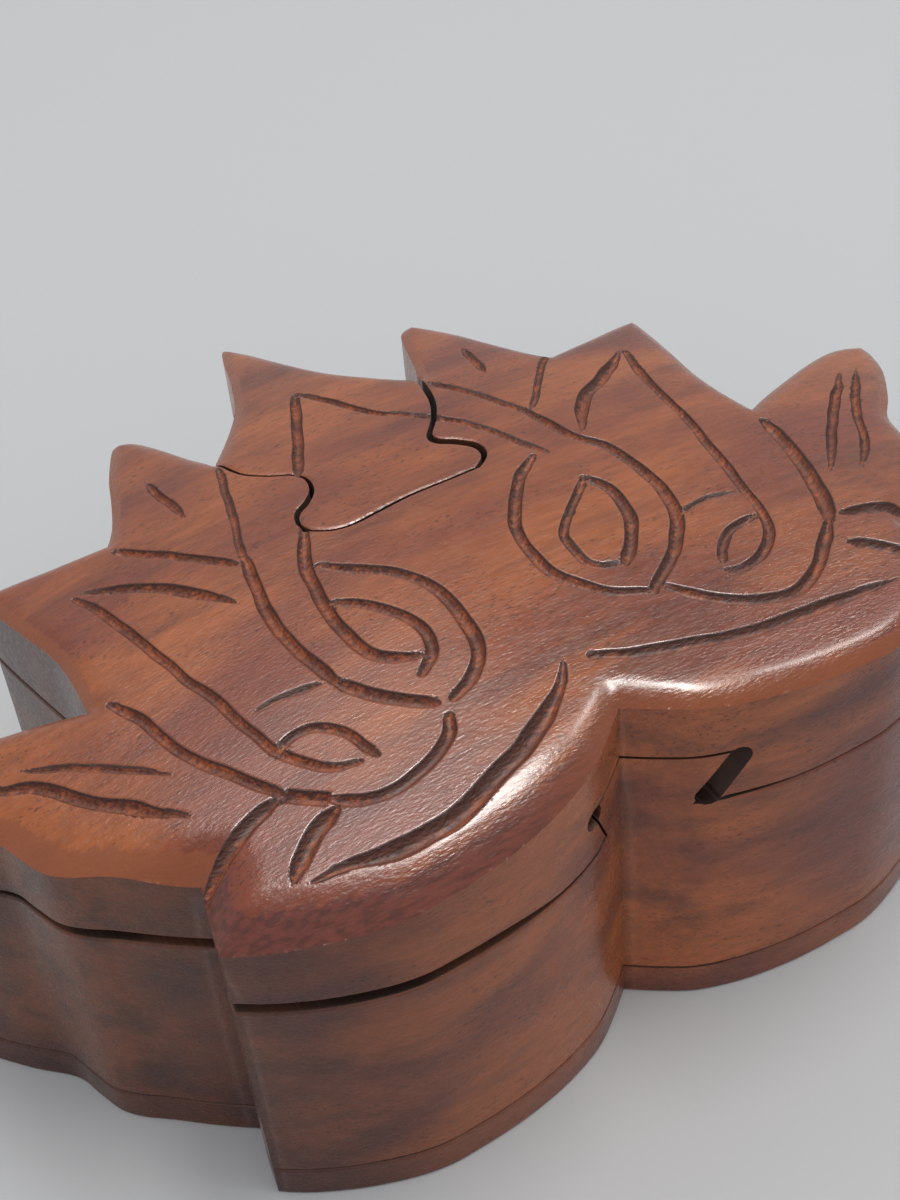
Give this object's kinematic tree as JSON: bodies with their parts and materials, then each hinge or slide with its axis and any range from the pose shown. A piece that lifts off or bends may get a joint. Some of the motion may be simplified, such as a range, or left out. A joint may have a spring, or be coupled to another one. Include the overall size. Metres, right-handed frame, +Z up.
{
  "type": "puzzle box",
  "caption": "Flower-shaped wooden puzzle box with a domed lid that slides back on a dovetail and a petal-shaped key that lifts out of the lid.",
  "frame": {"origin": "centre of the overall box at the level the bottom plate stands on", "axes": "+Z up, +Y from the cusp between the two round lobes towards the tip of the centre petal, +X to the right seen from the front"},
  "size_m": [0.159, 0.1152, 0.057],
  "materials": {
    "carved_top": "red-brown hardwood under semi-gloss lacquer, carved",
    "sawn_walls": "dark red-brown hardwood under semi-gloss lacquer, sanded walls",
    "plate": "dark red-brown hardwood under semi-gloss lacquer"
  },
  "bodies": {
    "base": {"body_block": "sawn_walls", "bottom_plate": "plate"},
    "lid": {"lid": "carved_top"},
    "key": {"key_petal": "carved_top"}
  },
  "joints": [
    {"name": "lid_slide", "type": "slide", "parent": "base", "child": "lid", "axis": [0, 1, 0], "range_m": [0, 0.075]},
    {"name": "key_lift", "type": "slide", "parent": "lid", "child": "key", "axis": [0, 0, 1], "range_m": [0, 0.022]}
  ]
}
